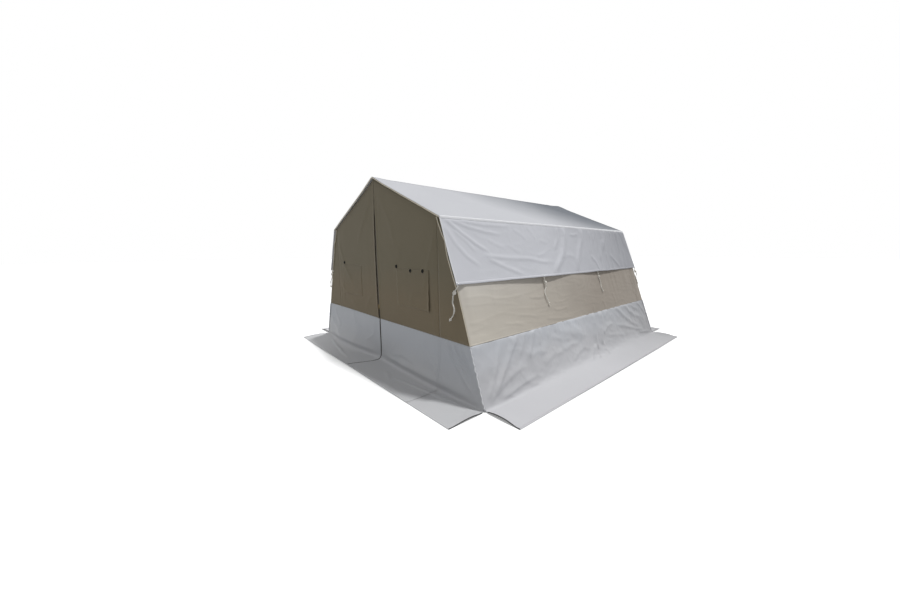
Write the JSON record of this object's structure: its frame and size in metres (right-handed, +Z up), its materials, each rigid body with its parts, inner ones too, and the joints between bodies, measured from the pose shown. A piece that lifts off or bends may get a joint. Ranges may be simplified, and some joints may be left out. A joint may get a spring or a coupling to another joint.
{
  "type": "insulated shelter tent",
  "caption": "House-shaped insulated shelter tent: tube frame, canvas body, roof fly with tied skirts, coated sod wall with mud flaps, quilted inner room and zipped door with window covers.",
  "frame": {"origin": "on the ground, at the centre of the tent's outline with its mud flaps", "axes": "+Z up, -Y out of the front gable with the door, +X to the right as one faces along +Y into the tent"},
  "size_m": [4.82, 4.82, 2.3416],
  "materials": {
    "galvanised_steel": "zinc coated tube, dull",
    "beige_canvas": "plain-woven beige cotton and polyester canvas, proofed",
    "white_fly": "white coated woven fly sheet, faint sheen",
    "grey_sod_cloth": "pale grey coated tarpaulin, soft sheen",
    "quilted_lining": "cotton quilt over wadding, matt",
    "window_net": "fine dark netting",
    "cotton_tape": "white cotton tape, twisted",
    "zip_metal": "dark antique brass",
    "ground_cloth": "grey woven plastic groundsheet"
  },
  "bodies": {
    "tent": {"canvas_shell": "beige_canvas", "eave_corner_front_left": "galvanised_steel", "eave_corner_front_right": "galvanised_steel", "eave_corner_middle_left": "galvanised_steel", "eave_corner_middle_right": "galvanised_steel", "eave_corner_rear_left": "galvanised_steel", "eave_corner_rear_right": "galvanised_steel", "eave_rail_left_front": "galvanised_steel", "eave_rail_left_rear": "galvanised_steel", "eave_rail_right_front": "galvanised_steel", "eave_rail_right_rear": "galvanised_steel", "front_panel_left": "beige_canvas", "front_panel_right": "beige_canvas", "groundsheet": "ground_cloth", "inner_liner": "quilted_lining", "leg_front_left": "galvanised_steel", "leg_front_right": "galvanised_steel", "leg_middle_left": "galvanised_steel", "leg_middle_right": "galvanised_steel", "leg_rear_left": "galvanised_steel", "leg_rear_right": "galvanised_steel", "rafter_front_left": "galvanised_steel", "rafter_front_right": "galvanised_steel", "rafter_middle_left": "galvanised_steel", "rafter_middle_right": "galvanised_steel", "rafter_rear_left": "galvanised_steel", "rafter_rear_right": "galvanised_steel", "rear_gable": "beige_canvas", "ridge_cap_front": "galvanised_steel", "ridge_cap_middle": "galvanised_steel", "ridge_cap_rear": "galvanised_steel", "ridge_pole_front": "galvanised_steel", "ridge_pole_rear": "galvanised_steel", "roof_fly": "white_fly", "sod_wall": "grey_sod_cloth"},
    "door_left": {"door_leaf_left": "beige_canvas", "door_quilt_left": "quilted_lining", "door_sod_left": "grey_sod_cloth", "window_net_left": "window_net"},
    "door_right": {"door_leaf_right": "beige_canvas", "door_quilt_right": "quilted_lining", "door_sod_right": "grey_sod_cloth", "window_net_right": "window_net"},
    "cover_left": {"window_cover_left": "beige_canvas"},
    "cover_right": {"window_cover_right": "beige_canvas"},
    "zip_slider_body": {"zip_slider": "zip_metal"},
    "skirt_left": {"fly_skirt_left": "white_fly", "fly_tie_left_1": "cotton_tape", "fly_tie_left_2": "cotton_tape", "fly_tie_left_3": "cotton_tape", "fly_tie_left_4": "cotton_tape"},
    "skirt_right": {"fly_skirt_right": "white_fly", "fly_tie_right_1": "cotton_tape", "fly_tie_right_2": "cotton_tape", "fly_tie_right_3": "cotton_tape", "fly_tie_right_4": "cotton_tape"},
    "flap_left": {"mud_flap_left": "grey_sod_cloth"},
    "flap_right": {"mud_flap_right": "grey_sod_cloth"},
    "flap_rear": {"mud_flap_rear": "grey_sod_cloth"}
  },
  "joints": [
    {"name": "door_left_hinge", "type": "hinge", "parent": "tent", "child": "door_left", "pos_m": [-1.33, -2, 0], "axis": [0, 0, -1], "range_deg": [0, 90]},
    {"name": "door_right_hinge", "type": "hinge", "parent": "tent", "child": "door_right", "pos_m": [1.33, -2, 0], "axis": [0, 0, 1], "range_deg": [0, 90]},
    {"name": "window_cover_left_hinge", "type": "hinge", "parent": "door_left", "child": "cover_left", "pos_m": [-0.835, -2.0015, 1.24], "axis": [-1, 0, 0], "range_deg": [0, 140]},
    {"name": "window_cover_right_hinge", "type": "hinge", "parent": "door_right", "child": "cover_right", "pos_m": [0.835, -2.0015, 1.24], "axis": [-1, 0, 0], "range_deg": [0, 140]},
    {"name": "zip_slide", "type": "slide", "parent": "door_right", "child": "zip_slider_body", "axis": [0, 0, 1], "range_m": [-0.66, 1.48]},
    {"name": "skirt_left_hinge", "type": "hinge", "parent": "tent", "child": "skirt_left", "pos_m": [-1.39104, 0, 1.77098], "axis": [0, 1, 0], "range_deg": [0, 210]},
    {"name": "skirt_right_hinge", "type": "hinge", "parent": "tent", "child": "skirt_right", "pos_m": [1.39104, 0, 1.77098], "axis": [0, -1, 0], "range_deg": [0, 210]},
    {"name": "mud_flap_left_hinge", "type": "hinge", "parent": "tent", "child": "flap_left", "pos_m": [-2.0003, 0, 0.001], "axis": [0, 1, 0], "range_deg": [0, 100]},
    {"name": "mud_flap_right_hinge", "type": "hinge", "parent": "tent", "child": "flap_right", "pos_m": [2.0003, 0, 0.001], "axis": [0, -1, 0], "range_deg": [0, 100]},
    {"name": "mud_flap_rear_hinge", "type": "hinge", "parent": "tent", "child": "flap_rear", "pos_m": [0, 2.0003, 0.001], "axis": [1, 0, 0], "range_deg": [0, 85]}
  ]
}
